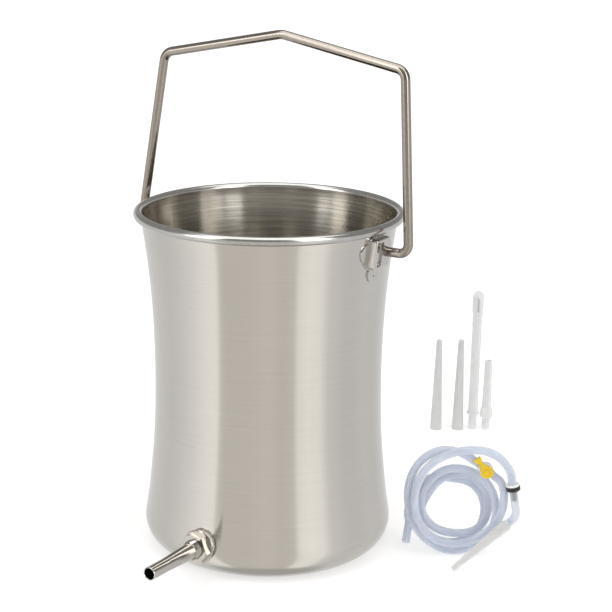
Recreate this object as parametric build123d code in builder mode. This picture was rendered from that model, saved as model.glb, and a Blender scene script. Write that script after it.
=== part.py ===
from build123d import *
import math
import os

# Gravity-feed bucket kit: a waisted steel bucket with a swing bail handle and a bulkhead
# spigot, a coiled hose with an in-line stopcock, a check valve and a fitted nozzle, and
# four loose tips.
# Millimetres. The origin is the centre of the bucket's base on the floor, +Z is up.
# The handle pivots lie along X and the spigot points along -Y.

# --- bucket shell; profile points are (radius, height) ---
SHEET = 0.8                     # wall thickness
BUCKET_H = 182.6                # to the top of the rolled rim
RIM_R = 70.0                    # outside radius of the rolled rim
BEAD_R = 2.3                    # section radius of the rolled bead
LIP_ANGLE = math.radians(-118.0)    # where the curled sheet ends, round the bead
CORNER_C = (52.3, 14.1)         # centre of the base corner arc
CORNER_R = 14.1
CORNER_END = math.radians(9.0)  # above horizontal, where the corner arc meets the wall
# outside of the wall, upward from the base corner: (radius, height)
WALL = [(64.95, 24.0), (63.15, 38.7), (61.18, 59.9), (60.21, 83.0), (60.21, 109.5),
        (61.37, 136.0), (63.40, 157.4), (64.91, 168.9), (65.95, 176.6)]
FIT_GAP = 0.02                  # clearance between a fitted piece and its neighbour

# --- ears; u runs sideways along +Y, w up the wall, from the +X pivot ---
PIVOT_Z = 168.32
EAR_TILT = math.radians(8.0)    # slope of the wall at the ear
EAR_T = 0.8                     # ear plate thickness
EAR_X = 65.63                   # outer face of the ear plate at the pivot
EAR_ZONE_Z = 130                # only the wall above this height shapes the ears
COVER_U = (-11.4, 4.7)          # sideways span of the pivot cover
COVER_W = (-7.6, 7.9)           # upward span of the pivot cover
COVER_N = 2.75                  # how far the cover stands off the plate
COVER_T = 0.8
COVER_ROOT = 3                  # how far the cover starts behind the ear plane
GROOVE_U = -6.1                 # centre of the pressed groove

# --- bail handle, measured in its own leaning plane from the pivot line ---
WIRE_R = 2.4
LEAN = math.radians(6.14)       # toward +Y at rest
LEG_X = 80.62
SHOULDER_X, SHOULDER_H = 70.90, 88.28
APEX_H = 101.66
BENDS = [(LEG_X, 4.6), (SHOULDER_X, 6.0), (0, 10.0)]    # (distance from centre, bend radius)
HEAD_R, HEAD_X0, HEAD_X1 = 3.3, 66.25, 67.05            # upset head: radius and span in X

# --- spigot; distances run outward along its axis from the outer face of the nut ---
SPIGOT_TILT = math.radians(2.5)     # rising outward
NUT_FACE = Vector(0.0, -72.5, 18.0)
NUT_AF, NUT_T = 14.6, 4.2           # across flats, thickness
WASHER_R, WASHER_T = 8.9, 1.2
OUTER_GASKET_R, OUTER_GASKET_T = WASHER_R - 0.9, 2.6
THREAD_R, THREAD_ROOT, PITCH = 4.95, 4.45, 1.0
THREAD_TOP = 3.2                    # outer end of the thread
CLEAR_R = THREAD_R + 0.1            # holes that the thread passes through
TUBE_R, TUBE_BORE = 3.5, 2.9        # radii
TUBE_ROOT_R, TAPER_END = 4.3, 24.0  # radius just past the thread; where the taper ends
TUBE_LEN = 38.2
FLANGE_R, FLANGE_T = 7.5, 1.8
WASHER_BACK = -(NUT_T + WASHER_T)
FLANGE_FACE = WASHER_BACK - 4.9     # side of the inner flange toward the bucket wall

os.makedirs("parts", exist_ok=True)


def save(builder, name):
    builder.part.label = name
    export_step(builder.part, "parts/" + name + ".step")


def on_circle(centre, radius, angle):
    return (centre[0] + radius * math.cos(angle), centre[1] + radius * math.sin(angle))


def offset_points(points, amount):
    """Shift each (radius, height) point outward, square to the line joining its neighbours."""
    shifted = []
    for k, (r, z) in enumerate(points):
        r0, z0 = points[max(k - 1, 0)]
        r1, z1 = points[min(k + 1, len(points) - 1)]
        chord = math.hypot(r1 - r0, z1 - z0)
        shifted.append((r + amount * (z1 - z0) / chord, z - amount * (r1 - r0) / chord))
    return shifted


def widened(points):
    return [(r + FIT_GAP, z) for r, z in points]


def turned(plane, draw):
    """Solid of revolution about the plane's local Y; draw() makes the closed profile."""
    with BuildPart() as piece:
        with BuildSketch(plane):
            with BuildLine():
                draw()
            make_face()
        revolve(axis=Axis(plane.origin, plane.y_dir))
    return piece


# ---------------------------------------------------------------------------
# Bucket shell
# ---------------------------------------------------------------------------
corner_inner_r = CORNER_R - SHEET
corner_mid = (CORNER_END - math.pi / 2) / 2
corner_end_out = on_circle(CORNER_C, CORNER_R, CORNER_END)
corner_end_in = on_circle(CORNER_C, corner_inner_r, CORNER_END)
wall_start_dir = (-math.sin(CORNER_END), math.cos(CORNER_END))
wall_start_down = (math.sin(CORNER_END), -math.cos(CORNER_END))

bead_c = (RIM_R - BEAD_R, BUCKET_H - BEAD_R)
curl_r = BEAD_R - SHEET         # inner radius of the curl


def bead(dr, dz):
    return (bead_c[0] + dr, bead_c[1] + dz)


wall_out = [corner_end_out] + WALL + [bead(-curl_r, 0)]
wall_in = offset_points(wall_out, -SHEET)[1:-1]

spigot_dir = Vector(0, -math.cos(SPIGOT_TILT), math.sin(SPIGOT_TILT))
spigot_axis = Axis(NUT_FACE, spigot_dir)
spigot_plane = Plane(origin=NUT_FACE, x_dir=(1, 0, 0), z_dir=spigot_dir)
# local X is the radius, local Y runs outward along the spigot
spigot_section = Plane(origin=NUT_FACE, x_dir=(1, 0, 0),
                       z_dir=Vector(1, 0, 0).cross(spigot_dir))

with BuildPart() as bucket_shell:
    with BuildSketch(Plane.XZ):
        with BuildLine():
            # first side of the sheet: base, corner and wall, then the inside of the curl
            Line((0, 0), (CORNER_C[0], 0))
            ThreePointArc((CORNER_C[0], 0), on_circle(CORNER_C, CORNER_R, corner_mid),
                          corner_end_out)
            Spline(*wall_out, tangents=(wall_start_dir, (0, 1)))
            ThreePointArc(bead(-curl_r, 0), bead(0, curl_r), bead(curl_r, 0))
            ThreePointArc(bead(curl_r, 0), on_circle(bead_c, curl_r, LIP_ANGLE / 2),
                          on_circle(bead_c, curl_r, LIP_ANGLE))
            Line(on_circle(bead_c, curl_r, LIP_ANGLE), on_circle(bead_c, BEAD_R, LIP_ANGLE))
            # back over the bead and down the inside of the bucket
            ThreePointArc(on_circle(bead_c, BEAD_R, LIP_ANGLE),
                          on_circle(bead_c, BEAD_R, LIP_ANGLE / 2), bead(BEAD_R, 0))
            ThreePointArc(bead(BEAD_R, 0), bead(0, BEAD_R), bead(-BEAD_R, 0))
            Spline(bead(-BEAD_R, 0), *reversed(wall_in), corner_end_in,
                   tangents=((0, -1), wall_start_down))
            ThreePointArc(corner_end_in, on_circle(CORNER_C, corner_inner_r, corner_mid),
                          (CORNER_C[0], SHEET))
            Line((CORNER_C[0], SHEET), (0, SHEET))
            Line((0, SHEET), (0, 0))
        make_face()
    revolve(axis=Axis.Z)
    # hole for the spigot
    with BuildSketch(spigot_plane.offset(-14)):
        Circle(CLEAR_R)
    extrude(amount=12, mode=Mode.SUBTRACT)
save(bucket_shell, "bucket_shell")

# ---------------------------------------------------------------------------
# Ears: a clover plate that follows the wall, and a raised pivot cover on it.
# "Right" is the +X side; the left ear is the right one turned half round Z.
# ---------------------------------------------------------------------------
ear_plane = Plane(origin=(EAR_X, 0, PIVOT_Z), x_dir=(0, 1, 0),
                  z_dir=(math.cos(EAR_TILT), 0, -math.sin(EAR_TILT)))
ear_wall = [point for point in wall_out if point[1] > EAR_ZONE_Z]
plate_in = offset_points(ear_wall, FIT_GAP)
plate_out = offset_points(ear_wall, EAR_T)
cover_mid_u = sum(COVER_U) / 2
cover_mid_w = sum(COVER_W) / 2

with BuildPart() as ear_plate_right:
    # a full ring of plate on the wall, cut down to the clover outline
    with BuildSketch(Plane.XZ):
        with BuildLine():
            Spline(*plate_in)
            Line(plate_in[-1], plate_out[-1])
            Spline(*reversed(plate_out))
            Line(plate_out[0], plate_in[0])
        make_face()
    revolve(axis=Axis.Z)
    with BuildSketch(ear_plane.offset(-8)):
        with Locations((cover_mid_u, cover_mid_w + 0.1)):
            RectangleRounded(COVER_U[1] - COVER_U[0] + 2.0, COVER_W[1] - COVER_W[0] + 1.4, 2.4)
        # side lobes, then the lower lobe
        with Locations((COVER_U[0] - 0.9, 0.4), (COVER_U[1] + 0.9, 0.4)):
            Circle(4.9)
        with Locations((cover_mid_u - 1.3, -10.6)):
            Circle(5.1)
    extrude(amount=14, mode=Mode.INTERSECT)
    # small hole in the lower lobe
    with Locations(ear_plane.offset(2) * Pos(cover_mid_u - 1.2, -12.2, 0)):
        Hole(0.5, depth=4)
save(ear_plate_right, "ear_plate_right")


def cover_points(inset, clip):
    """Cover outline (u, w) with its upper +Y corner cut off; clip deepens that cut."""
    (u0, u1), (w0, w1) = COVER_U, COVER_W
    return [(u0 + inset, w0 + inset), (u1 - inset, w0 + inset), (u1 - inset, w1 - 3.4 - clip),
            (u1 - 3.2 - clip, w1 - inset), (u0 + inset, w1 - inset)]


with BuildPart() as ear_cover_right:
    with BuildSketch(ear_plane.offset(-COVER_ROOT)):
        with BuildLine():
            FilletPolyline(*cover_points(0, 0), radius=1.5, close=True)
        make_face()
    extrude(amount=COVER_N + COVER_ROOT)
    ear_normal = Axis(ear_plane.origin, ear_plane.z_dir)
    fillet(ear_cover_right.faces().sort_by(ear_normal)[-1].edges(), radius=0.7)
    # hollow it from behind
    with BuildSketch(ear_plane.offset(-COVER_ROOT)):
        with BuildLine():
            FilletPolyline(*cover_points(COVER_T, 0.3), radius=0.8, close=True)
        make_face()
    extrude(amount=COVER_N + COVER_ROOT - COVER_T, mode=Mode.SUBTRACT)
    # pressed groove: a pad inside the cover, then the tapered recess from outside
    with BuildSketch(ear_plane.offset(COVER_N - 1.8)):
        with Locations((GROOVE_U, cover_mid_w - 0.2)):
            RectangleRounded(5.2, 13.4, 1.2)
    extrude(amount=1.2)
    with BuildSketch(ear_plane.offset(COVER_N + 0.2)):
        with Locations((GROOVE_U, cover_mid_w - 0.2)):
            RectangleRounded(4.1, 12.8, 0.8)
    extrude(amount=-1.3, taper=10, mode=Mode.SUBTRACT)
    # small hole low in the groove
    with BuildSketch(ear_plane.offset(COVER_N + 1)):
        with Locations((GROOVE_U + 0.2, -4.6)):
            Circle(0.8)
    extrude(amount=-4, mode=Mode.SUBTRACT)
    # hole for the handle wire
    with BuildSketch(Plane.YZ.offset(64)):
        with Locations((0, PIVOT_Z)):
            Circle(WIRE_R + 0.06)
    extrude(amount=8, mode=Mode.SUBTRACT)
    # trim the back to the ear plate
    trim_edge = widened(plate_out)
    with BuildSketch(Plane.XZ):
        with BuildLine():
            Polyline((0, EAR_ZONE_Z), trim_edge[0])
            Spline(*trim_edge)
            Polyline(trim_edge[-1], (0, trim_edge[-1][1]), (0, EAR_ZONE_Z))
        make_face()
    revolve(axis=Axis.Z, mode=Mode.SUBTRACT)
save(ear_cover_right, "ear_cover_right")

for right_piece, left_name in ((ear_plate_right, "ear_plate_left"),
                               (ear_cover_right, "ear_cover_left")):
    with BuildPart() as left_piece:
        add(right_piece.part.rotate(Axis.Z, 180))
    save(left_piece, left_name)

# ---------------------------------------------------------------------------
# Bail handle: one bent wire with an upset head at each end
# ---------------------------------------------------------------------------
handle_plane = Plane(origin=(0, 0, PIVOT_Z), x_dir=(1, 0, 0),
                     z_dir=(0, -math.cos(LEAN), math.sin(LEAN)))


def wire_end_plane(side):
    return Plane(origin=(side * HEAD_X0, 0, PIVOT_Z), x_dir=(0, 1, 0), z_dir=(side, 0, 0))


with BuildPart() as handle_bail:
    with BuildLine(handle_plane) as wire_path:
        Polyline((HEAD_X0, 0), (LEG_X, 0), (SHOULDER_X, SHOULDER_H), (0, APEX_H),
                 (-SHOULDER_X, SHOULDER_H), (-LEG_X, 0), (-HEAD_X0, 0))
        for bend_x, bend_r in BENDS:
            fillet([v for v in wire_path.vertices() if abs(abs(v.X) - bend_x) < 0.1],
                   radius=bend_r)
    with BuildSketch(wire_end_plane(1)):
        Circle(WIRE_R)
    sweep(path=wire_path.wires()[0])
    for side in (1, -1):
        with BuildSketch(wire_end_plane(side)):
            Circle(HEAD_R)
        extrude(amount=HEAD_X1 - HEAD_X0)
save(handle_bail, "handle_bail")

# ---------------------------------------------------------------------------
# Spigot: threaded tube with an inner flange, lock nut, washer and two gaskets
# ---------------------------------------------------------------------------


def tube_profile():
    flange_back = FLANGE_FACE - FLANGE_T
    points = [(TUBE_BORE, flange_back), (FLANGE_R - 0.6, flange_back),
              (FLANGE_R, flange_back + 0.6), (FLANGE_R, FLANGE_FACE),
              (THREAD_ROOT, FLANGE_FACE)]
    # the thread is a row of separate rings
    ring = FLANGE_FACE + 0.3
    while ring < THREAD_TOP - PITCH:
        points += [(THREAD_ROOT, ring), (THREAD_R, ring + 0.4), (THREAD_R, ring + 0.55),
                   (THREAD_ROOT, ring + 0.92)]
        ring += PITCH
    points += [(THREAD_ROOT, THREAD_TOP - 0.4), (TUBE_ROOT_R + 0.05, THREAD_TOP),
               (TUBE_ROOT_R, THREAD_TOP + 0.3), (TUBE_R, TAPER_END),
               (TUBE_R, TUBE_LEN - 0.25), (TUBE_R - 0.2, TUBE_LEN),
               (TUBE_BORE + 0.15, TUBE_LEN), (TUBE_BORE, TUBE_LEN - 0.2),
               (TUBE_BORE, flange_back)]
    Polyline(*points)


save(turned(spigot_section, tube_profile), "spigot_tube")

with BuildPart() as lock_nut:
    with BuildSketch(spigot_plane.offset(-NUT_T)):
        RegularPolygon(NUT_AF / 2, 6, major_radius=False, rotation=-8)
    extrude(amount=NUT_T)
    # bevel the hexagon's corners on both faces
    nut_r = NUT_AF / 2 / math.cos(math.pi / 6)
    with BuildSketch(spigot_section):
        with BuildLine():
            Polyline((0, -NUT_T), (nut_r - 0.7, -NUT_T), (nut_r + 0.1, -NUT_T + 0.4),
                     (nut_r + 0.1, -0.4), (nut_r - 0.7, 0), (0, 0), (0, -NUT_T))
        make_face()
    revolve(axis=spigot_axis, mode=Mode.INTERSECT)
    with BuildSketch(spigot_plane.offset(1)):
        Circle(THREAD_R + FIT_GAP)
    extrude(amount=-NUT_T - 2, mode=Mode.SUBTRACT)
    chamfer(lock_nut.edges().filter_by(GeomType.CIRCLE).group_by(SortBy.RADIUS)[0], length=0.3)
save(lock_nut, "lock_nut")

with BuildPart() as outer_washer:
    with BuildSketch(spigot_plane.offset(WASHER_BACK)):
        Circle(WASHER_R)
        Circle(CLEAR_R, mode=Mode.SUBTRACT)
    extrude(amount=WASHER_T)
    chamfer(outer_washer.edges().filter_by(GeomType.CIRCLE).group_by(SortBy.RADIUS)[-1],
            length=0.3)
save(outer_washer, "outer_washer")

with BuildPart() as outer_gasket:
    with BuildSketch(spigot_plane.offset(WASHER_BACK - OUTER_GASKET_T)):
        Circle(OUTER_GASKET_R)
        Circle(CLEAR_R, mode=Mode.SUBTRACT)
    extrude(amount=OUTER_GASKET_T)
    # shape its back to the outside of the bucket
    lower_wall = widened(wall_out[:6])
    with BuildSketch(Plane.XZ):
        with BuildLine():
            Polyline((0, -1), (CORNER_C[0], -1), (CORNER_C[0], -FIT_GAP))
            ThreePointArc((CORNER_C[0], -FIT_GAP),
                          on_circle(CORNER_C, CORNER_R + FIT_GAP, corner_mid), lower_wall[0])
            Spline(*lower_wall, tangents=(wall_start_dir, (0, 1)))
            Polyline(lower_wall[-1], (0, lower_wall[-1][1]), (0, -1))
        make_face()
    revolve(axis=Axis.Z, mode=Mode.SUBTRACT)
save(outer_gasket, "outer_gasket")

with BuildPart() as inner_gasket:
    with BuildSketch(spigot_plane.offset(FLANGE_FACE + 0.01)):
        Circle(FLANGE_R - 0.1)
        Circle(CLEAR_R, mode=Mode.SUBTRACT)
    extrude(amount=6)
    # keep only what lies inside the bucket
    with BuildPart(mode=Mode.PRIVATE) as cavity:
        with BuildSketch(Plane.XZ):
            with BuildLine():
                Line((0, SHEET), (CORNER_C[0], SHEET))
                ThreePointArc((CORNER_C[0], SHEET),
                              on_circle(CORNER_C, corner_inner_r, corner_mid), corner_end_in)
                Spline(corner_end_in, *wall_in[:5], tangents=(wall_start_dir, (0, 1)))
                Polyline(wall_in[4], (0, wall_in[4][1]), (0, SHEET))
            make_face()
        revolve(axis=Axis.Z)
    add(cavity.part, mode=Mode.INTERSECT)
save(inner_gasket, "inner_gasket")

# ---------------------------------------------------------------------------
# Hose kit. Coil coordinates are (p, q, n): p to the side, q up, n out of the coil's face
# ---------------------------------------------------------------------------
HOSE_R, HOSE_BORE = 2.2, 1.7    # radii
BARB_R = 1.63                   # stems that push into the hose
PASSAGE_R = 1.0                 # bore through the stopcock and the check valve
COIL_ORIGIN = (94.0, 38.0, 30.72)
COIL_TURN = math.radians(30.0)  # the coil's face is turned this far about Z from -Y
VALVE_CENTRE, VALVE_DIR = (28.56, 11.33, 16.89), (-0.17288, 0.98494, 0)
COCK_CENTRE, COCK_DIR = (14.74, 18.93, 11.47), (-0.78279, 0.62228, 0)
LEVER_ANGLE = math.radians(126.5)   # in the coil's face, from p toward q
NOZZLE_TIP, NOZZLE_BASE = (-2.3, -29.35, 30.8), (25.63, -9.51, 18.4)
# start of the long hose's curve, the direction in which its straight end leaves, its length
TAIL_START, TAIL_DIR = (-23.79, -21.69, -4.89), (-0.10404, -0.99451, -0.01089)
TAIL_LEN = 8.2

# free run of each hose, as (p, q, n) points on its centreline
# check valve to stopcock
MID_RUN = [
    (25.1, 22.8, 16.36), (21.6, 26.8, 16.25), (17.4, 29.6, 16.14), (12.6, 31.1, 16.03),
    (7.5, 31.4, 15.9), (1.3, 30.8, 15.74), (-4.6, 29.1, 15.57), (-9.9, 26.5, 15.39),
    (-14.9, 22.5, 15.19), (-18.8, 17.2, 14.98), (-21.2, 10.9, 14.75), (-22.2, 3.7, 14.5),
    (-21.5, -3.8, 14.24), (-19.1, -10.8, 14), (-15, -16.5, 13.76), (-9.2, -20.8, 13.53),
    (-2.5, -22.6, 13.29), (4.4, -22.3, 13.05), (10.9, -19.9, 12.82), (16.6, -15.9, 12.6),
    (21.1, -10.6, 12.39), (24, -4.3, 12.2), (24.9, 2.1, 12.03)]
# stopcock round the coil to the tail
MAIN_RUN = [
    (-1.9, 29, 10.89), (-7.6, 29.3, 10.73), (-13.8, 27.3, 10.55), (-19.3, 22.8, 10.36),
    (-23.2, 16.6, 10.16), (-25.1, 9.2, 9.95), (-25.2, 1.4, 9.73), (-24.1, -6.5, 9.5),
    (-21.3, -14, 9.26), (-17.1, -20.3, 9.04), (-11.4, -25.1, 8.83), (-4.6, -27.9, 8.61),
    (2.4, -28.4, 8.41), (9, -26.6, 8.2), (14.8, -22.8, 8), (19, -17.4, 7.8),
    (21.3, -10.8, 7.6), (21.6, -3.9, 7.39), (20.1, 2.5, 7.19), (17.2, 8.3, 6.97),
    (13.1, 12.8, 6.76), (7.8, 15.9, 6.52), (1.7, 17.4, 6.27), (-4.3, 16.9, 6.01),
    (-9.8, 14.2, 5.74), (-14.2, 9.7, 5.47), (-17.1, 3.9, 5.19), (-18.1, -2.5, 4.92),
    (-17.1, -8.6, 4.68), (-14.1, -13.9, 4.43), (-9.5, -17.9, 4.17), (-3.8, -20.1, 3.9),
    (2.5, -20.8, 3.62), (8.7, -20.1, 3.36), (13.8, -17.1, 3.12), (16.9, -12, 2.89),
    (17.9, -5.8, 2.66), (17.1, 0.5, 2.42), (14.4, 6.1, 2.17), (10.1, 10.1, 1.93),
    (4.8, 12.1, 1.67), (-1.1, 12.1, 1.37), (-6.6, 9.8, 1.06), (-10.8, 5.7, 0.74),
    (-14.2, 0.3, 0.41), (-16.9, -6, 0.11), (-18.1, -12.8, -0.13), (-16.4, -19.3, -0.34),
    (-12.4, -24.1, -0.55), (-6.8, -27.2, -0.76), (-0.6, -28.3, -0.98), (5.6, -27.1, -1.2),
    (10.9, -23.7, -1.42), (14.6, -18.7, -1.65), (16.4, -12.6, -1.89), (16.3, -6.2, -2.15),
    (14.2, -0.3, -2.42), (10.5, 4.3, -2.7), (5.5, 7, -3.01), (-0.3, 7.9, -3.36),
    (-6, 8.5, -3.67), (-12, 7.9, -3.93), (-17.4, 4.7, -4.17), (-21.3, -0.5, -4.38),
    (-23.4, -7.2, -4.59), (-24, -14, -4.78)]
# check valve to nozzle connector
END_RUN = [(30.45, 0.5, 16.86), (30.86, -2.1, 16.72), (30.5, -4.9, 16.6)]

coil_plane = Plane(origin=COIL_ORIGIN, x_dir=(math.cos(COIL_TURN), math.sin(COIL_TURN), 0),
                   z_dir=(math.sin(COIL_TURN), -math.cos(COIL_TURN), 0))
face_dir = coil_plane.z_dir


def coil_point(point):
    return coil_plane.from_local_coords(Vector(*point))


def coil_dir(direction):
    p, q, n = direction
    return (coil_plane.x_dir * p + Vector(0, 0, 1) * q + face_dir * n).normalized()


def along(point, direction, distance):
    return tuple(a + b * distance for a, b in zip(point, direction))


def straight(point, direction, start, end):
    """Straight run between two distances along a line, as its two end points."""
    return along(point, direction, start), along(point, direction, end)


def thirds(run):
    return [tuple(a + (b - a) * k / 3 for a, b in zip(*run)) for k in range(4)]


def end_outline(solid, point):
    """Outline of the solid's flat face nearest to point."""
    flat = [f for f in solid.faces() if f.geom_type == GeomType.PLANE]
    return min(flat, key=lambda f: (f.center() - point).length).outer_wire()


def hose(start_run, free_run, end_run, tail=0.0):
    """Tube along a straight run, smoothly through free_run, and along a last straight run.
    A tail adds a straight plain length before the first run. The wall is sewn from its
    outer skin, its bore and its two end rings."""
    points = thirds(start_run) + list(free_run) + thirds(end_run)
    path = Wire([Edge.make_spline([coil_point(point) for point in points])])
    curve = path.edges()[0]
    start_dir = curve % 0
    start_plane = Plane(origin=curve @ 0, z_dir=start_dir)
    near_end, far_end = curve @ 0 - start_dir * tail, curve @ 1
    skins, near_rims, far_rims = [], [], []
    for radius in (HOSE_R, HOSE_BORE):
        disc = Face(Wire([Edge.make_circle(radius, start_plane)]))
        lengths = [Solid.sweep(disc, path)]
        if tail:
            lengths.append(Solid.extrude(disc, start_dir * -tail))
        for solid in lengths:
            skins += [f for f in solid.faces() if f.geom_type != GeomType.PLANE]
        near_rims.append(end_outline(lengths[-1], near_end))
        far_rims.append(end_outline(lengths[0], far_end))
    rings = [Face(outer, [inner]) for outer, inner in (near_rims, far_rims)]
    with BuildPart() as tube:
        add(Solid(Shell(skins + rings)))
    return tube


nozzle_len = math.dist(NOZZLE_TIP, NOZZLE_BASE)
# from the tip toward the base
nozzle_dir = tuple((b - a) / nozzle_len for a, b in zip(NOZZLE_TIP, NOZZLE_BASE))

save(hose(straight(VALVE_CENTRE, VALVE_DIR, 2.05, 7.2), MID_RUN,
          straight(COCK_CENTRE, COCK_DIR, -8.6, -4.15)), "hose_mid")
save(hose(straight(TAIL_START, TAIL_DIR, 0, -2.6), reversed(MAIN_RUN),
          straight(COCK_CENTRE, COCK_DIR, 8.6, 4.15), TAIL_LEN), "hose_main")
save(hose(straight(VALVE_CENTRE, VALVE_DIR, -1.4, -7.5), END_RUN,
          straight(NOZZLE_BASE, nozzle_dir, 4.2, 1.55)), "hose_end")


def section_plane(origin, axis_dir):
    """Sketch plane whose local X is the radius and whose local Y runs along axis_dir."""
    helper = Vector(0.31, 0.22, 0.93) if abs(axis_dir.Z) < 0.8 else Vector(0.95, 0.2, 0.1)
    z_dir = helper.cross(axis_dir).normalized()
    return Plane(origin=origin, x_dir=axis_dir.cross(z_dir), z_dir=z_dir)


# --- stopcock: body along the hose, plug and lever square to the coil's face ---
PLUG_R, SOCKET_R = 2.0, 2.04
LEVER_BASE, LEVER_T = 2.9, 1.5      # underside above the hose axis, thickness
# half of one barbed end of the body: (radius, distance from the centre)
COCK_END = [(2.2, 3.3), (2.5, 3.5), (2.5, 4.1), (BARB_R, 4.1), (BARB_R, 7.3),
            (BARB_R - 0.35, 7.9), (0, 7.9)]
# one edge of the lever, hub to tip: (distance along the lever, half width)
LEVER_EDGE = [(1.2, 3.15), (4.0, 1.65), (6.6, 1.0), (7.6, 1.95), (9.4, 2.15)]

cock_origin, cock_dir = coil_point(COCK_CENTRE), coil_dir(COCK_DIR)


def cock_face_plane(height):
    return Plane(origin=cock_origin + face_dir * height, z_dir=face_dir)


with BuildPart() as stopcock_body:
    with BuildSketch(section_plane(cock_origin, cock_dir)):
        with BuildLine():
            Polyline(*[(r, -y) for r, y in reversed(COCK_END)], *COCK_END, (0, -7.9))
        make_face()
    revolve(axis=Axis(cock_origin, cock_dir))
    # barrel for the plug, rounded at its closed end
    with BuildSketch(cock_face_plane(-2.6)):
        Circle(3.75)
    extrude(amount=5.4)
    fillet(stopcock_body.edges().filter_by(GeomType.CIRCLE)
           .sort_by(Axis(cock_origin, face_dir))[0:1], radius=0.5)
    with BuildSketch(cock_face_plane(-2.0)):
        Circle(SOCKET_R)
    extrude(amount=8, mode=Mode.SUBTRACT)
    with BuildSketch(Plane(origin=cock_origin - cock_dir * 10, z_dir=cock_dir)):
        Circle(PASSAGE_R)
    extrude(amount=20, mode=Mode.SUBTRACT)
save(stopcock_body, "stopcock_body")

lever_dir = coil_dir((math.cos(LEVER_ANGLE), math.sin(LEVER_ANGLE), 0))
lever_plane = Plane(origin=cock_origin + face_dir * LEVER_BASE, x_dir=lever_dir,
                    z_dir=face_dir)
with BuildPart() as stopcock_lever:
    with BuildSketch(cock_face_plane(-1.95)):
        Circle(PLUG_R)
    extrude(amount=5.0)
    with BuildSketch(lever_plane):
        with BuildLine():
            ThreePointArc((1.2, 3.15), (-3.4, 0), (1.2, -3.15))
            Polyline(*[(x, -y) for x, y in LEVER_EDGE], *reversed(LEVER_EDGE))
        make_face()
    extrude(amount=LEVER_T)
    fillet(stopcock_lever.faces().sort_by(Axis(cock_origin, face_dir))[-1].edges(), radius=0.35)
    # dished top with a low button in it
    with BuildSketch(lever_plane.offset(LEVER_T)):
        Circle(2.1)
    extrude(amount=-0.4, taper=20, mode=Mode.SUBTRACT)
    with BuildSketch(lever_plane.offset(LEVER_T - 0.4)):
        Circle(1.15)
    extrude(amount=0.3)
    # passage through the plug, in line with the hose
    with BuildSketch(Plane(origin=cock_origin - cock_dir * 4, z_dir=cock_dir)):
        Circle(PASSAGE_R)
    extrude(amount=8, mode=Mode.SUBTRACT)
save(stopcock_lever, "stopcock_lever")

# --- check valve: two housing halves with a loose disc between them ---
# profiles are (radius, distance along the valve)
OUTLET = [(PASSAGE_R, -7.4), (BARB_R - 0.25, -7.4), (BARB_R, -6.9), (BARB_R, -1.35),
          (3.6, -1.35), (3.8, -1.15), (3.8, 0.9), (3.6, 1.1), (2.75, 1.1), (2.75, -0.55),
          (PASSAGE_R, -0.55), (PASSAGE_R, -7.4)]
INLET = [(PASSAGE_R, 0.6), (2.73, 0.6), (2.73, 1.12), (3.6, 1.12), (3.6, 1.8), (3.4, 2.0),
         (BARB_R, 2.0), (BARB_R, 6.3), (BARB_R - 0.3, 6.9), (PASSAGE_R, 6.9),
         (PASSAGE_R, 0.6)]

valve_origin, valve_dir = coil_point(VALVE_CENTRE), coil_dir(VALVE_DIR)
valve_section = section_plane(valve_origin, valve_dir)

with BuildPart() as check_valve_outlet:
    with BuildSketch(valve_section):
        with BuildLine():
            Polyline(*OUTLET)
        make_face()
    revolve(axis=Axis(valve_origin, valve_dir))
    # eight grooves leave a ribbed stem
    with BuildSketch(Plane(origin=valve_origin - valve_dir * 7.6, x_dir=face_dir,
                           z_dir=valve_dir)):
        with PolarLocations(BARB_R + 0.05, 8):
            Rectangle(0.65, 0.6)
    extrude(amount=5.9, mode=Mode.SUBTRACT)
save(check_valve_outlet, "check_valve_outlet")

save(turned(valve_section, lambda: Polyline(*INLET)), "check_valve_inlet")

with BuildPart() as check_valve_disc:
    with BuildSketch(Plane(origin=valve_origin + valve_dir * 0.14, z_dir=valve_dir)):
        Circle(2.1)
    extrude(amount=0.4)
save(check_valve_disc, "check_valve_disc")

# --- nozzle connector and fitted nozzle; (radius, distance from the nozzle's base) ---
CONNECTOR = [(0.85, -5.2), (1.4, -5.2), (1.65, -4.5), (1.74, 0.1), (2.5, 0.1), (2.75, 0.35),
             (2.75, 1.2), (2.5, 1.5), (BARB_R, 1.5), (BARB_R, 3.6), (BARB_R - 0.3, 4.1),
             (0.85, 4.1), (0.85, -5.2)]

nozzle_section = section_plane(coil_point(NOZZLE_BASE), coil_dir(nozzle_dir))


def fitted_nozzle_profile():
    tip = -nozzle_len
    Polyline((1.78, 0.05), (2.95, 0.05), (3.1, 0.25), (3.0, -6.2), (2.75, -6.9),
             (1.5, tip + 0.8))
    ThreePointArc((1.5, tip + 0.8), (1.3, tip + 0.2), (0.8, tip))
    Polyline((0.8, tip), (0.8, tip + 8), (1.68, -8), (1.78, 0.05))


save(turned(nozzle_section, lambda: Polyline(*CONNECTOR)), "nozzle_connector")
save(turned(nozzle_section, fitted_nozzle_profile), "fitted_nozzle")

# ---------------------------------------------------------------------------
# Loose tips, standing on their open ends; profiles are (radius, height)
# ---------------------------------------------------------------------------
# (x, y) of each foot
CONE_A_FOOT, CONE_B_FOOT = (4.5, 203.1), (16.5, 210.6)
LONG_FOOT, SHORT_FOOT = (24.7, 215.6), (32.1, 220.2)
CONE_H, CONE_R, CONE_TIP_R = 60.8, 3.75, 1.8
LONG_H = 93.0
SLOT_Z, SLOT_LEN, SLOT_W = 84.5, 9.0, 1.1
SHORT_PROFILE = [(1.4, 0), (2.25, 0), (2.5, 0.5), (2.62, 8.4), (4.05, 8.6), (4.2, 9.4),
                 (3.5, 14.6), (3.05, 14.9), (2.95, 16.0), (2.36, 46.2), (2.1, 47.0),
                 (1.3, 47.0), (1.3, 40), (1.4, 0)]


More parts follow.
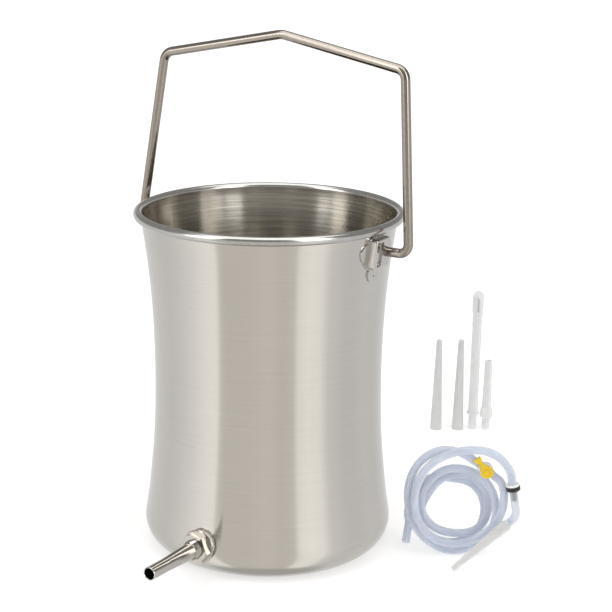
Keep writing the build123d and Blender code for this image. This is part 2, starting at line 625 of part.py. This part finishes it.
def tip_section(foot):
    return Plane(origin=(*foot, 0), x_dir=(1, 0, 0), z_dir=(0, -1, 0))


def cone_profile():
    bore_r = CONE_TIP_R - 0.95
    Polyline((2.6, 0), (CONE_R - 0.1, 0), (CONE_R, 0.1), (CONE_R - 0.06, 3.0),
             (CONE_TIP_R, CONE_H - 1.2))
    ThreePointArc((CONE_TIP_R, CONE_H - 1.2), (CONE_TIP_R - 0.28, CONE_H - 0.35),
                  (bore_r, CONE_H))
    Polyline((bore_r, CONE_H), (bore_r, CONE_H - 8), (2.5, 9), (2.6, 0))


save(turned(tip_section(CONE_A_FOOT), cone_profile), "cone_tip_a")
save(turned(tip_section(CONE_B_FOOT), cone_profile), "cone_tip_b")

with BuildPart() as long_nozzle:
    with BuildSketch(tip_section(LONG_FOOT)):
        with BuildLine():
            # foot and collar, swelling stem, domed head, then the blind bore
            Polyline((1.5, 0), (2.3, 0), (2.55, 0.5), (2.7, 9.6), (2.75, 10.6), (4.1, 10.8),
                     (4.2, 11.4), (4.0, 11.9), (3.15, 12.1))
            Spline((3.15, 12.1), (3.05, 30), (3.05, 60), (3.2, 76), (3.6, 84), (3.66, 88.0),
                   tangents=((0, 1), (0, 1)))
            Spline((3.66, 88.0), (3.2, 91.2), (1.9, 92.7), (0, LONG_H),
                   tangents=((0, 1), (-1, 0)))
            Polyline((0, LONG_H), (0, 90.5), (1.7, 88.5), (1.7, 20), (1.5, 0))
        make_face()
    revolve(axis=Axis((*LONG_FOOT, 0), (0, 0, 1)))
    # three upright side slots and the end hole of the head
    for degrees in (-60, 60, 180):
        slot_c, slot_s = math.cos(math.radians(degrees)), math.sin(math.radians(degrees))
        with BuildSketch(Plane(origin=(*LONG_FOOT, SLOT_Z), x_dir=(-slot_s, slot_c, 0),
                               z_dir=(slot_c, slot_s, 0))):
            SlotOverall(SLOT_LEN, SLOT_W, rotation=90)
        extrude(amount=6, mode=Mode.SUBTRACT)
    with BuildSketch(Plane(origin=(*LONG_FOOT, 86))):
        Circle(0.8)
    extrude(amount=10, mode=Mode.SUBTRACT)
save(long_nozzle, "long_nozzle")

save(turned(tip_section(SHORT_FOOT), lambda: Polyline(*SHORT_PROFILE)), "short_nozzle")
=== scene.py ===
"""A steel bucket with a bail handle, a spigot near its floor, and a kit of hoses and nozzles.

The bucket's axis is Z, it stands on z = 0 and its spigot points along -Y.
The camera looks down on it from +X -Y. Bucket sizes are in millimetres and are scaled
by MM where meshes are made; the shaders, floor and camera are in metres.
"""
import math

import bmesh
import bpy
import numpy as np
from mathutils import Matrix, Vector


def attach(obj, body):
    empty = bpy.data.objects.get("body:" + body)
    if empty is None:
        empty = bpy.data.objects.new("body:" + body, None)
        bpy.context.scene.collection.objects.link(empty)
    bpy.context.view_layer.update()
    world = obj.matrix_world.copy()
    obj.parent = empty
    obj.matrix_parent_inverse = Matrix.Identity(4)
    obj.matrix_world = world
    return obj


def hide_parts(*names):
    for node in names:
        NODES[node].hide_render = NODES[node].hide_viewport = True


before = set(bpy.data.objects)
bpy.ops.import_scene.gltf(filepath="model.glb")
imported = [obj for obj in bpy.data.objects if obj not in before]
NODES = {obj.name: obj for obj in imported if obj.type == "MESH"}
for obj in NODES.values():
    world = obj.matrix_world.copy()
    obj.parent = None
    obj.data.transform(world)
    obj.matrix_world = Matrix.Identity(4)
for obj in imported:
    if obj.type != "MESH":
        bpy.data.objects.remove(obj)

scene = bpy.context.scene
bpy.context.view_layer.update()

MM = 0.001


# ---------------------------------------------------------------------------
# Shader building
# ---------------------------------------------------------------------------
class ShaderTree:
    """Adds nodes to a tree. Any value may be a constant or another node's output."""

    def __init__(self, tree):
        self.tree = tree
        self.x = -1200

    def new(self, kind, **props):
        node = self.tree.nodes.new(kind)
        node.location = (self.x, 300 - 160 * (len(self.tree.nodes) % 7))
        self.x += 40
        for name, value in props.items():
            setattr(node, name, value)
        return node

    def fill(self, node, values):
        """Set or link inputs, keyed by name or index; colours are given as RGB."""
        for key, value in values.items():
            socket = node.inputs[key]
            if hasattr(value, "is_output"):
                self.tree.links.new(value, socket)
            elif socket.type == "RGBA":
                socket.default_value = (*value, 1.0)
            else:
                socket.default_value = value

    def calc(self, operation, first, second=0.0):
        node = self.new("ShaderNodeMath", operation=operation)
        self.fill(node, {0: first, 1: second, 2: 0.0})
        return node.outputs[0]

    def vector_calc(self, operation, vector, other):
        node = self.new("ShaderNodeVectorMath", operation=operation)
        self.fill(node, {0: vector, "Scale" if operation == "SCALE" else 1: other})
        return node.outputs["Value" if operation == "DOT_PRODUCT" else "Vector"]

    def split(self, vector):
        node = self.new("ShaderNodeSeparateXYZ")
        self.fill(node, {0: vector})
        return node.outputs

    def join(self, x, y, z):
        node = self.new("ShaderNodeCombineXYZ")
        self.fill(node, {0: x, 1: y, 2: z})
        return node.outputs[0]

    def object_coords(self):
        return self.new("ShaderNodeTexCoord").outputs["Object"]

    def noise(self, vector, scale, detail, roughness):
        node = self.new("ShaderNodeTexNoise")
        self.fill(node, {"Vector": vector, "Scale": scale, "Detail": detail,
                         "Roughness": roughness})
        return node.outputs[0]

    def remap(self, value, start, end, low=0.0, high=1.0, smooth=False):
        """Map start..end onto low..high."""
        node = self.new("ShaderNodeMapRange",
                        interpolation_type="SMOOTHSTEP" if smooth else "LINEAR")
        self.fill(node, {"Value": value, "From Min": start, "From Max": end,
                         "To Min": low, "To Max": high})
        return node.outputs["Result"]

    def spread(self, noise, low=0.0, high=1.0):
        """Map the middle span of a noise, where most of it lies, onto low..high."""
        return self.remap(noise, 0.3, 0.7, low, high)

    def blend(self, first, second, share):
        """Sum of two values, with the given share of the first."""
        return self.calc("ADD", self.calc("MULTIPLY", first, share),
                         self.calc("MULTIPLY", second, 1.0 - share))

    def ramp(self, value, stops):
        """Colour ramp through (position, RGB) stops."""
        node = self.new("ShaderNodeValToRGB")
        elements = node.color_ramp.elements
        elements.remove(elements[-1])
        elements[0].position = stops[0][0]
        elements[0].color = (*stops[0][1], 1.0)
        for position, rgb in stops[1:]:
            elements.new(position).color = (*rgb, 1.0)
        self.fill(node, {0: value})
        return node.outputs[0]

    def mix(self, factor, first, second):
        node = self.new("ShaderNodeMix", data_type="RGBA", blend_type="MIX")
        self.fill(node, {0: factor, 6: first, 7: second})
        return node.outputs[2]

    def bump(self, height, strength, distance):
        node = self.new("ShaderNodeBump")
        self.fill(node, {"Strength": strength, "Distance": distance, "Height": height})
        return node.outputs[0]


def new_material(name):
    """A material with a Principled shader; returns it, its tree, the shader and the output."""
    mat = bpy.data.materials.new(name)
    mat.use_nodes = True
    mat.node_tree.nodes.clear()
    tree = ShaderTree(mat.node_tree)
    output = tree.new("ShaderNodeOutputMaterial")
    shader = tree.new("ShaderNodeBsdfPrincipled")
    tree.fill(output, {"Surface": shader.outputs[0]})
    return mat, tree, shader, output


# ---------------------------------------------------------------------------
# Steel finishes
# ---------------------------------------------------------------------------
def ring_noise(tree, around, up, detail, roughness):
    """Seamless noise stretched round the Z axis: slow in angle, fast in height."""
    x, y, z = tree.split(tree.object_coords())[:3]
    squares = tree.calc("ADD", tree.calc("MULTIPLY", x, x), tree.calc("MULTIPLY", y, y))
    radius = tree.calc("MAXIMUM", tree.calc("SQRT", squares), 1e-5)
    vector = tree.join(tree.calc("MULTIPLY", tree.calc("DIVIDE", x, radius), around),
                       tree.calc("MULTIPLY", tree.calc("DIVIDE", y, radius), around),
                       tree.calc("MULTIPLY", z, up))
    return tree.noise(vector, 1.0, detail, roughness)


def brushed_steel(name, base, rough, aniso, streak, rough_spread, bump):
    """Sheet steel brushed round the bucket; streak is how far the grain shifts the tone."""
    mat, tree, shader, _ = new_material(name)
    fine = ring_noise(tree, around=2.4, up=2100.0, detail=3.0, roughness=0.6)
    coarse = ring_noise(tree, around=0.9, up=800.0, detail=4.0, roughness=0.65)
    cloud = ring_noise(tree, around=1.3, up=16.0, detail=3.0, roughness=0.55)
    grain = tree.blend(fine, coarse, share=0.5)
    tone = tree.spread(grain, 1.0 - streak, 1.0 + streak)
    tone = tree.calc("MULTIPLY", tone, tree.spread(cloud, 0.985, 1.015))
    tangent = tree.new("ShaderNodeTangent", direction_type="RADIAL", axis="Z")
    tree.fill(shader, {
        "Base Color": tree.vector_calc("SCALE", base, tone),
        "Metallic": 1.0,
        "Roughness": tree.spread(tree.blend(coarse, cloud, share=0.6),
                                 rough - rough_spread, rough + rough_spread),
        "Tangent": tangent.outputs[0],
        "Anisotropic": aniso,
        "Anisotropic Rotation": 0.25,
        "Normal": tree.bump(grain, bump, distance=0.00002)})
    return mat


def polished_steel(name, base, rough, rough_spread=0.03, scale=380.0, bump=0.12):
    """Buffed steel with faint wipe marks."""
    mat, tree, shader, _ = new_material(name)
    coords = tree.vector_calc("MULTIPLY", tree.object_coords(), (1, 1, 1))
    soft = tree.noise(coords, scale, detail=3.0, roughness=0.6)
    hair = tree.noise(coords, scale * 5.0, detail=2.0, roughness=0.5)
    tree.fill(shader, {
        "Base Color": tree.vector_calc("SCALE", base, tree.spread(soft, 0.95, 1.04)),
        "Metallic": 1.0,
        "Roughness": tree.spread(soft, rough - rough_spread, rough + rough_spread),
        "Normal": tree.bump(hair, bump, distance=0.00001)})
    return mat


def wire_steel(name):
    """Drawn wire: softly mottled, a little darker than the sheet."""
    mat, tree, shader, _ = new_material(name)
    coords = tree.object_coords()
    mottle = tree.noise(coords, scale=620.0, detail=3.0, roughness=0.6)
    patch = tree.noise(coords, scale=120.0, detail=2.0, roughness=0.5)
    tree.fill(shader, {
        "Base Color": tree.mix(tree.spread(mottle),
                               (0.345, 0.310, 0.275), (0.405, 0.365, 0.325)),
        "Metallic": 1.0,
        "Roughness": tree.spread(patch, 0.10, 0.16),
        "Normal": tree.bump(mottle, strength=0.06, distance=0.00002)})
    return mat


steel_outside = brushed_steel("steel_outside", base=(0.635, 0.610, 0.575), rough=0.14,
                              aniso=0.78, streak=0.030, rough_spread=0.04, bump=0.35)
# the inside is the same sheet as the outside, given a darker, warmer base colour: painted
# shade inside the bucket
steel_inside_shaded = brushed_steel("steel_inside_shaded", base=(0.530, 0.505, 0.455), rough=0.20,
                             aniso=0.80, streak=0.30, rough_spread=0.06, bump=0.60)
steel_bead = polished_steel("steel_bead", base=(0.57, 0.56, 0.54), rough=0.19)
steel_underside = brushed_steel("steel_underside", base=(0.56, 0.54, 0.51), rough=0.34,
                                aniso=0.5, streak=0.05, rough_spread=0.05, bump=0.4)
steel_fitting = polished_steel("steel_fitting", base=(0.55, 0.525, 0.49), rough=0.08)
steel_ear = polished_steel("steel_ear", base=(0.62, 0.60, 0.575), rough=0.17,
                           rough_spread=0.05, scale=300.0, bump=0.2)
steel_wire = wire_steel("steel_wire")


# ---------------------------------------------------------------------------
# Silicone and plastics
# ---------------------------------------------------------------------------
def translucent(name, tint, body, clear, rough):
    """Milky see-through skin, denser toward its edges; clear is the share seen through
    face on, tint colours what is seen through it."""
    mat, tree, shader, output = new_material(name)
    coords = tree.object_coords()
    haze = tree.noise(coords, scale=260.0, detail=3.0, roughness=0.55)
    speck = tree.noise(coords, scale=1400.0, detail=2.0, roughness=0.5)
    darker = tuple(0.965 * channel for channel in body)
    tree.fill(shader, {
        "Base Color": tree.mix(tree.spread(haze), darker, body),
        "Roughness": tree.spread(haze, rough - 0.05, rough + 0.07),
        "IOR": 1.41,
        "Specular IOR Level": 0.45,
        "Subsurface Weight": 0.35,
        "Subsurface Radius": (0.9, 1.0, 1.15),
        "Subsurface Scale": 0.0016,
        "Normal": tree.bump(speck, strength=0.12, distance=0.00002)})
    see_through = tree.new("ShaderNodeBsdfTransparent")
    tree.fill(see_through, {0: tint})
    facing = tree.new("ShaderNodeLayerWeight")
    tree.fill(facing, {"Blend": 0.35})
    density = tree.remap(facing.outputs["Facing"], 0.0, 0.9, low=1.0 - clear, high=0.93)
    layered = tree.new("ShaderNodeMixShader")
    tree.fill(layered, {0: density, 1: see_through.outputs[0], 2: shader.outputs[0]})
    tree.fill(output, {"Surface": layered.outputs[0]})
    return mat


def moulded(name, base, rough, subsurface=0.0, tone=0.04):
    """Moulded plastic with a fine eggshell skin; tone is how far its shade drifts."""
    mat, tree, shader, _ = new_material(name)
    coords = tree.object_coords()
    cloud = tree.noise(coords, scale=150.0, detail=3.0, roughness=0.5)
    skin = tree.noise(coords, scale=2800.0, detail=2.0, roughness=0.5)
    shade = tree.spread(cloud, 1.0 - tone, 1.0 + tone)
    tree.fill(shader, {
        "Base Color": tree.vector_calc("SCALE", base, shade),
        "Roughness": tree.spread(cloud, rough - 0.05, rough + 0.05),
        "Specular IOR Level": 0.5,
        "Normal": tree.bump(skin, strength=0.15, distance=0.00003)})
    if subsurface:
        tree.fill(shader, {"Subsurface Weight": subsurface,
                           "Subsurface Radius": (1.0, 1.0, 1.0),
                           "Subsurface Scale": 0.002})
    return mat


hose = translucent("silicone_hose", tint=(0.955, 0.965, 0.985), body=(0.74, 0.79, 0.90),
                   clear=0.62, rough=0.24)
gasket = moulded("silicone_gasket", base=(0.74, 0.74, 0.72), rough=0.42, subsurface=0.3)
clear_plastic = translucent("plastic_clear", tint=(0.97, 0.975, 0.985),
                            body=(0.84, 0.86, 0.90), clear=0.55, rough=0.14)
yellow = moulded("plastic_yellow", base=(0.74, 0.51, 0.004), rough=0.30, subsurface=0.04,
                 tone=0.06)
white = moulded("plastic_white", base=(0.83, 0.84, 0.85), rough=0.30, subsurface=0.3)
black = moulded("plastic_black", base=(0.012, 0.012, 0.013), rough=0.34, tone=0.15)
cone_grey = moulded("plastic_cone", base=(0.60, 0.60, 0.60), rough=0.40, subsurface=0.3,
                    tone=0.03)
frosted = translucent("plastic_frosted", tint=(0.97, 0.97, 0.97), body=(0.86, 0.86, 0.865),
                      clear=0.35, rough=0.3)
hose_end = translucent("silicone_hose_end", tint=(0.965, 0.972, 0.985),
                       body=(0.76, 0.80, 0.88), clear=0.80, rough=0.2)
smoky = translucent("plastic_fitted_nozzle", tint=(0.955, 0.955, 0.955),
                    body=(0.78, 0.78, 0.775), clear=0.5, rough=0.3)

# material, then the CAD pieces that wear it
BUCKET_PARTS = [
    (steel_ear, "ear_plate_right ear_plate_left ear_cover_right ear_cover_left"),
    (steel_wire, "handle_bail"),
    (steel_fitting, "spigot_tube lock_nut outer_washer"),
    (gasket, "outer_gasket inner_gasket"),
]
HOSE_KIT = [
    (hose, "hose_mid hose_main"),
    (hose_end, "hose_end"),
    (clear_plastic, "stopcock_body"),
    (yellow, "stopcock_lever"),
    (black, "check_valve_outlet"),
    (white, "check_valve_inlet check_valve_disc"),
    (clear_plastic, "nozzle_connector"),
    (smoky, "fitted_nozzle"),
    (cone_grey, "cone_tip_a cone_tip_b"),
    (frosted, "long_nozzle short_nozzle"),
]


def paint(table, mirrored=True):
    for mat, names in table:
        for name in names.split():
            piece = NODES[name]
            piece.data.materials.clear()
            piece.data.materials.append(mat)
            if not mirrored:
                piece.visible_glossy = False


paint(BUCKET_PARTS)
# the hose kit is kept out of the reflections in the bucket wall
paint(HOSE_KIT, mirrored=False)

# ---------------------------------------------------------------------------
# Bucket body: one closed section of the sheet, turned round Z (mm)
# ---------------------------------------------------------------------------
SHEET = 0.8                     # thickness
RIM_R = 70.0
BUCKET_H = 182.6
BEAD_R = 2.3                    # outer radius of the rolled rim bead
BEAD_CENTRE = (RIM_R - BEAD_R, BUCKET_H - BEAD_R)
CURL_R = BEAD_R - SHEET         # inner radius of the bead
LIP_ANGLE = -118                # degrees, where the curled sheet ends
CORNER_R = 14.1
CORNER_CENTRE = (52.3, CORNER_R)
CORNER_END = 9.0                # degrees above level, where the corner meets the wall
FLOOR_RINGS = (14.0, 28.0, 40.0, 48.0)
SEGMENTS = 360
# outer wall between the corner and the bead: radius, height
WALL = [(64.95, 24.0), (63.15, 38.7), (61.18, 59.9), (60.21, 83.0), (60.21, 109.5),
        (61.37, 136.0), (63.40, 157.4), (64.91, 168.9), (65.95, 176.6)]
# material slots, in order
OUTSIDE, INSIDE, BEAD, UNDERSIDE = range(4)


def on_circle(centre, radius, degrees):
    angle = math.radians(degrees)
    return (centre[0] + radius * math.cos(angle), centre[1] + radius * math.sin(angle))


def arc(centre, radius, start, end, steps):
    return [on_circle(centre, radius, start + (end - start) * i / steps)
            for i in range(steps + 1)]


def spline(points, start_tangent, end_tangent, spacing):
    """Points on a clamped cubic spline with chord-length parameters and unit end tangents."""
    knots = np.array(points, float)
    chords = np.linalg.norm(np.diff(knots, axis=0), axis=1)
    spans = np.diff(np.concatenate([[0], np.cumsum(chords)]))
    count = len(knots)
    matrix = np.zeros((count, count))
    target = np.zeros((count, 2))
    matrix[0, 0] = matrix[-1, -1] = 1
    target[0], target[-1] = start_tangent, end_tangent
    for i in range(1, count - 1):
        before, after = spans[i - 1], spans[i]
        matrix[i, i - 1:i + 2] = after, 2 * (before + after), before
        target[i] = 3 * (after * (knots[i] - knots[i - 1]) / before
                         + before * (knots[i + 1] - knots[i]) / after)
    slopes = np.linalg.solve(matrix, target)
    curve = []
    for i, span in enumerate(spans):
        steps = max(2, int(round(span / spacing)))
        for j in range(steps):
            s = j / steps
            curve.append((2 * s ** 3 - 3 * s ** 2 + 1) * knots[i]
                         + (s ** 3 - 2 * s ** 2 + s) * span * slopes[i]
                         + (-2 * s ** 3 + 3 * s ** 2) * knots[i + 1]
                         + (s ** 3 - s ** 2) * span * slopes[i + 1])
    curve.append(knots[-1])
    return [tuple(point) for point in curve]


def inset(points):
    """The points between the two ends, moved inward by the sheet thickness."""
    moved = []
    for (r0, z0), (r, z), (r1, z1) in zip(points, points[1:], points[2:]):
        chord = math.hypot(r1 - r0, z1 - z0)
        moved.append((r - SHEET * (z1 - z0) / chord, z + SHEET * (r1 - r0) / chord))
    return moved


def zoned(points, zone):
    return [(r, z, zone) for r, z in points]


def bucket_section():
    """(radius, height, zone) from the underside, up the outside and back down the inside."""
    corner_out = arc(CORNER_CENTRE, CORNER_R, -90, CORNER_END, 26)
    corner_in = arc(CORNER_CENTRE, CORNER_R - SHEET, -90, CORNER_END, 24)
    angle = math.radians(CORNER_END)
    leaving = (-math.sin(angle), math.cos(angle))
    upright = (0, 1)
    bead_r, bead_z = BEAD_CENTRE
    knots = [corner_out[-1]] + WALL + [(bead_r - CURL_R, bead_z)]
    inner_knots = [corner_in[-1]] + inset(knots) + [(bead_r - BEAD_R, bead_z)]
    wall_out = spline(knots, leaving, upright, spacing=2.0)
    wall_in = spline(inner_knots, leaving, upright, spacing=2.4)

    section = zoned([(r, 0.0) for r in FLOOR_RINGS], UNDERSIDE)
    section += zoned(corner_out[:7], UNDERSIDE)
    section += zoned(corner_out[7:-1], OUTSIDE)
    section += zoned(wall_out[:-1], OUTSIDE)
    section += zoned(arc(BEAD_CENTRE, CURL_R, 180, LIP_ANGLE, 40), OUTSIDE)
    # the cut edge of the sheet bulges slightly
    lip_in = on_circle(BEAD_CENTRE, CURL_R, LIP_ANGLE)
    lip_out = on_circle(BEAD_CENTRE, BEAD_R, LIP_ANGLE)
    section.append(((lip_in[0] + lip_out[0]) / 2 - 0.05,
                    (lip_in[1] + lip_out[1]) / 2 - 0.02, BEAD))
    section += zoned(arc(BEAD_CENTRE, BEAD_R, LIP_ANGLE, 180, 56)[:-1], BEAD)
    section += zoned(reversed(wall_in[1:]), INSIDE)
    section += zoned(reversed(corner_in), INSIDE)
    section += zoned([(r, SHEET) for r in reversed(FLOOR_RINGS)], INSIDE)
    return section


def add_object(name, mesh):
    obj = bpy.data.objects.new(name, mesh)
    scene.collection.objects.link(obj)
    return obj


def turn_bucket(section):
    verts, faces, zones = [], [], []
    for r, z, _ in section:
        for k in range(SEGMENTS):
            angle = 2 * math.pi * (k + 0.5) / SEGMENTS
            verts.append((r * math.cos(angle) * MM, r * math.sin(angle) * MM, z * MM))
    for i in range(len(section) - 1):
        ring, above = i * SEGMENTS, (i + 1) * SEGMENTS
        for k in range(SEGMENTS):
            q = (k + 1) % SEGMENTS
            faces.append((ring + k, ring + q, above + q, above + k))
            zones.append(section[i][2])
    # close the two faces of the floor with fans
    under_hub = len(verts)
    floor_hub = under_hub + 1
    verts += [(0, 0, 0), (0, 0, SHEET * MM)]
    last = (len(section) - 1) * SEGMENTS
    for k in range(SEGMENTS):
        q = (k + 1) % SEGMENTS
        faces += [(under_hub, q, k), (floor_hub, last + k, last + q)]
        zones += [UNDERSIDE, INSIDE]
    mesh = bpy.data.meshes.new("bucket_body")
    mesh.from_pydata(verts, [], faces)
    mesh.update()
    for mat in (steel_outside, steel_inside_shaded, steel_bead, steel_underside):
        mesh.materials.append(mat)
    mesh.polygons.foreach_set("material_index", zones)
    return add_object("bucket_body", mesh)


# the spigot hole
SPIGOT_TILT = math.radians(2.5)
SPIGOT_DIR = Vector((0, -math.cos(SPIGOT_TILT), math.sin(SPIGOT_TILT)))
SPIGOT_POINT = Vector((0.0, -72.5, 18.0)) * MM      # on the spigot axis, outside the wall
HOLE_R = 5.05
CUT_FROM, CUT_TO = 14, 2        # the cutter's ends, inward of SPIGOT_POINT


def add_cylinder(name, start, end, radius, segments):
    axis = (end - start).normalized()
    side = axis.cross(Vector((0, 0, 1))).normalized()
    up = side.cross(axis)
    bm = bmesh.new()
    rings = []
    for centre in (start, end):
        ring = []
        for k in range(segments):
            angle = 2 * math.pi * k / segments
            ring.append(bm.verts.new(centre + side * radius * math.cos(angle)
                                     + up * radius * math.sin(angle)))
        rings.append(ring)
    for k in range(segments):
        q = (k + 1) % segments
        bm.faces.new((rings[0][k], rings[0][q], rings[1][q], rings[1][k]))
    bm.faces.new(rings[0])
    bm.faces.new(list(reversed(rings[1])))
    bmesh.ops.recalc_face_normals(bm, faces=bm.faces)
    mesh = bpy.data.meshes.new(name)
    bm.to_mesh(mesh)
    bm.free()
    return add_object(name, mesh)


def cut_spigot_hole(body):
    cutter = add_cylinder("hole_cutter", SPIGOT_POINT - SPIGOT_DIR * CUT_FROM * MM,
                          SPIGOT_POINT - SPIGOT_DIR * CUT_TO * MM, HOLE_R * MM, 64)
    hole = body.modifiers.new("hole", "BOOLEAN")
    hole.operation = "DIFFERENCE"
    hole.solver = "EXACT"
    hole.object = cutter
    depsgraph = bpy.context.evaluated_depsgraph_get()
    mesh = bpy.data.meshes.new_from_object(body.evaluated_get(depsgraph))
    body.modifiers.clear()
    body.data = mesh
    mesh.name = "bucket_body"
    bpy.data.objects.remove(cutter)
    mesh.polygons.foreach_set("use_smooth", [True] * len(mesh.polygons))


bucket = turn_bucket(bucket_section())
cut_spigot_hole(bucket)
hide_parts("bucket_shell")
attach(bucket, "root")


# ---------------------------------------------------------------------------
# Floor, light, camera
# ---------------------------------------------------------------------------
def add_floor():
    """White paper with a glow of its own, left out of reflections."""
    bm = bmesh.new()
    bmesh.ops.create_grid(bm, x_segments=8, y_segments=8, size=6.0)
    mesh = bpy.data.meshes.new("floor")
    bm.to_mesh(mesh)
    bm.free()
    floor = add_object("floor", mesh)
    mat, tree, shader, _ = new_material("floor_paper")
    grain = tree.noise(tree.object_coords(), scale=900.0, detail=2.0, roughness=0.5)
    tree.fill(shader, {
        "Base Color": tree.mix(tree.spread(grain), (0.62, 0.62, 0.62), (0.64, 0.64, 0.64)),
        "Roughness": 0.9,
        "Specular IOR Level": 0.0,
        "Emission Color": (1, 1, 1),
        "Emission Strength": 0.52})
    mesh.materials.append(mat)
    floor.visible_glossy = False


# level directions of the view: to the camera's right, and from the bucket to the camera
VIEW_ANGLE = math.radians(31.54)
RIGHT = (math.cos(VIEW_ANGLE), math.sin(VIEW_ANGLE), 0.0)
TOWARD = (math.sin(VIEW_ANGLE), -math.cos(VIEW_ANGLE), 0.0)

# studio walls near and below the horizon: degrees from TOWARD (+ to the right),
# brightness, warmth
LOW_WALLS = [
    (-180, 0.80, 0), (-112, 0.78, 0), (-98, 0.83, 0.1), (-84, 0.92, 0.4), (-74, 1.00, 0.8),
    (-62, 1.10, 1), (-52, 1.12, 1), (-48.5, 0.78, 1.6), (-44, 0.71, 2), (-20, 0.72, 2),
    (0, 0.76, 2), (14, 0.715, 2), (25, 0.75, 1.8), (29, 1.03, 1.3), (40, 1.12, 1.3),
    (52, 1.08, 0.8), (62, 0.84, 0.6), (80, 0.745, 0.3), (95, 0.745, 0.1), (109, 0.78, 0),
    (130, 0.74, 0), (180, 0.80, 0)]
# softboxes above them: degrees, brightness
SOFTBOXES = [
    (-180, 0.30), (-78, 0.34), (-73, 2.9), (-63.5, 3.4), (-61.8, 1.3), (-59.8, 1.3),
    (-58, 3.6), (-49, 3.6), (-46, 0.30), (25, 0.28), (28, 3.4), (52, 3.0), (58, 0.30),
    (180, 0.30)]
SOFTBOX_WARMTH = 0.6


def light_stop(degrees, brightness, warmth):
    """A ramp stop; warmth lifts red and lowers blue."""
    rgb = (brightness * (1 + 0.018 * warmth), brightness, brightness * (1 - 0.03 * warmth))
    return (degrees + 180.0) / 360.0, rgb


def build_world():
    world = bpy.data.worlds.new("studio")
    scene.world = world
    world.use_nodes = True
    world.node_tree.nodes.clear()
    tree = ShaderTree(world.node_tree)
    output = tree.new("ShaderNodeOutputWorld")
    background = tree.new("ShaderNodeBackground")
    tree.fill(output, {"Surface": background.outputs[0]})
    direction = tree.new("ShaderNodeTexCoord").outputs["Generated"]
    across = tree.vector_calc("DOT_PRODUCT", direction, RIGHT)
    toward = tree.vector_calc("DOT_PRODUCT", direction, TOWARD)
    angle = tree.calc("ARCTAN2", across, toward)
    turn = tree.calc("ADD", tree.calc("DIVIDE", angle, 2 * math.pi), 0.5)
    lower = tree.ramp(turn, [light_stop(*row) for row in LOW_WALLS])
    upper = tree.ramp(turn, [light_stop(*row, SOFTBOX_WARMTH) for row in SOFTBOXES])
    height = tree.split(direction)[2]
    light = tree.mix(tree.remap(height, 0.05, 0.22, smooth=True), lower, upper)
    # bright overhead, dim straight below
    light = tree.mix(tree.remap(height, 0.80, 0.90, smooth=True), light, (1.8, 1.78, 1.74))
    light = tree.mix(tree.remap(height, -0.86, -0.95, smooth=True), light,
                     (0.52, 0.52, 0.505))
    # the camera itself sees a plain white backdrop
    seen = tree.new("ShaderNodeLightPath").outputs["Is Camera Ray"]
    tree.fill(background, {"Color": tree.mix(seen, light, (1.0, 1.0, 1.0)),
                           "Strength": 1.0})


CAMERA_PLACE = (0.4127, -0.6725, 0.3490)
CAMERA_TARGET = (0, 0, 0.0913)
CAMERA_ROLL = math.radians(0.34)


def add_camera():
    lens = bpy.data.cameras.new("camera")
    camera = add_object("camera", lens)
    camera.location = CAMERA_PLACE
    aim = Vector(CAMERA_TARGET) - Vector(CAMERA_PLACE)
    roll = Matrix.Rotation(CAMERA_ROLL, 3, "Z").to_quaternion()
    camera.rotation_mode = "QUATERNION"
    camera.rotation_quaternion = aim.to_track_quat("-Z", "Y") @ roll
    lens.sensor_width = 36.0
    lens.lens = 91.53
    lens.shift_x = 0.0616
    lens.shift_y = 0.1144
    lens.clip_start = 0.01
    lens.clip_end = 50.0
    scene.camera = camera


add_floor()
build_world()
add_camera()
scene.view_settings.view_transform = "Standard"
# enough bounces to see through the nested clear parts
scene.cycles.transparent_max_bounces = 48
scene.cycles.max_bounces = 14
scene.cycles.glossy_bounces = 8
scene.cycles.diffuse_bounces = 4
